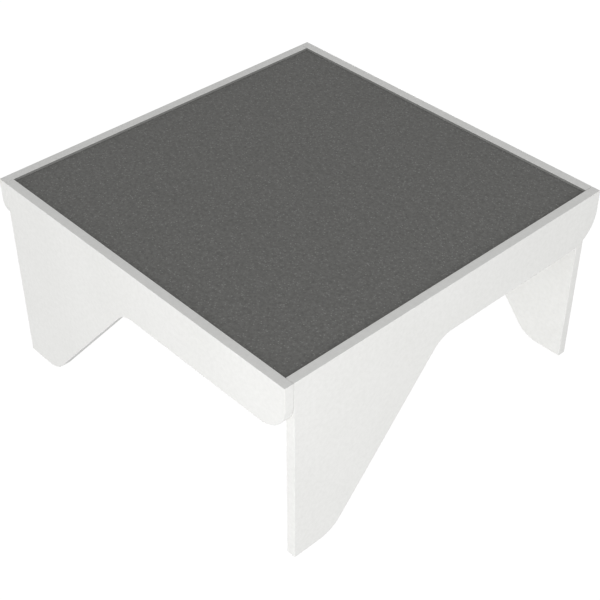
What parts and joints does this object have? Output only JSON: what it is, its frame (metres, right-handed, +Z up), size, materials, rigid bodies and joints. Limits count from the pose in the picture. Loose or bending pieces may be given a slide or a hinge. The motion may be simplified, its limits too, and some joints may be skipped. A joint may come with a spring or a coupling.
{
  "type": "mounting block",
  "caption": "Low square mounting block: side panels with tapered legs, set pinwheel fashion round a sunk anti-slip tread, to step up from.",
  "frame": {"origin": "centre of the square plan at floor level", "axes": "+Z up; the front side faces -Y and the right side faces +X"},
  "size_m": [0.5, 0.5, 0.258],
  "materials": {
    "panel_white": "satin white paint with a very fine texture",
    "board_white": "matt off-white, unpainted underside",
    "batten_white": "matt off-white",
    "tread_grey": "dark grey, matt, finely gritted anti-slip surface",
    "seal_grey": "mid grey, smooth",
    "dowel_beech": "plain beech, unfinished",
    "screw_steel": "zinc-plated"
  },
  "bodies": {
    "root": {"panel_front": "panel_white", "panel_right": "panel_white", "panel_back": "panel_white", "panel_left": "panel_white", "deck_board": "board_white", "tread_sheet": "tread_grey", "edge_seal": "seal_grey", "deck_cleat_front": "batten_white", "deck_cleat_right": "batten_white", "deck_cleat_back": "batten_white", "deck_cleat_left": "batten_white", "corner_block_front_right": "batten_white", "corner_block_back_right": "batten_white", "corner_block_back_left": "batten_white", "corner_block_front_left": "batten_white", "deck_rib_lengthwise": "batten_white", "deck_rib_crosswise": "batten_white", "corner_dowel_front_right_1": "dowel_beech", "corner_dowel_front_right_2": "dowel_beech", "corner_dowel_back_right_1": "dowel_beech", "corner_dowel_back_right_2": "dowel_beech", "corner_dowel_back_left_1": "dowel_beech", "corner_dowel_back_left_2": "dowel_beech", "corner_dowel_front_left_1": "dowel_beech", "corner_dowel_front_left_2": "dowel_beech", "cleat_screw_front_1": "screw_steel", "cleat_screw_front_2": "screw_steel", "cleat_screw_front_3": "screw_steel", "cleat_screw_right_1": "screw_steel", "cleat_screw_right_2": "screw_steel", "cleat_screw_right_3": "screw_steel", "cleat_screw_back_1": "screw_steel", "cleat_screw_back_2": "screw_steel", "cleat_screw_back_3": "screw_steel", "cleat_screw_left_1": "screw_steel", "cleat_screw_left_2": "screw_steel", "cleat_screw_left_3": "screw_steel", "deck_screw_front_1": "screw_steel", "deck_screw_front_2": "screw_steel", "deck_screw_right_1": "screw_steel", "deck_screw_right_2": "screw_steel", "deck_screw_back_1": "screw_steel", "deck_screw_back_2": "screw_steel", "deck_screw_left_1": "screw_steel", "deck_screw_left_2": "screw_steel", "lapped_screw_front_right": "screw_steel", "butted_screw_front_right": "screw_steel", "lapped_screw_back_right": "screw_steel", "butted_screw_back_right": "screw_steel", "lapped_screw_back_left": "screw_steel", "butted_screw_back_left": "screw_steel", "lapped_screw_front_left": "screw_steel", "butted_screw_front_left": "screw_steel", "rib_screw_lengthwise_1": "screw_steel", "rib_screw_lengthwise_2": "screw_steel", "rib_screw_crosswise_1": "screw_steel", "rib_screw_crosswise_2": "screw_steel"}
  },
  "joints": []
}
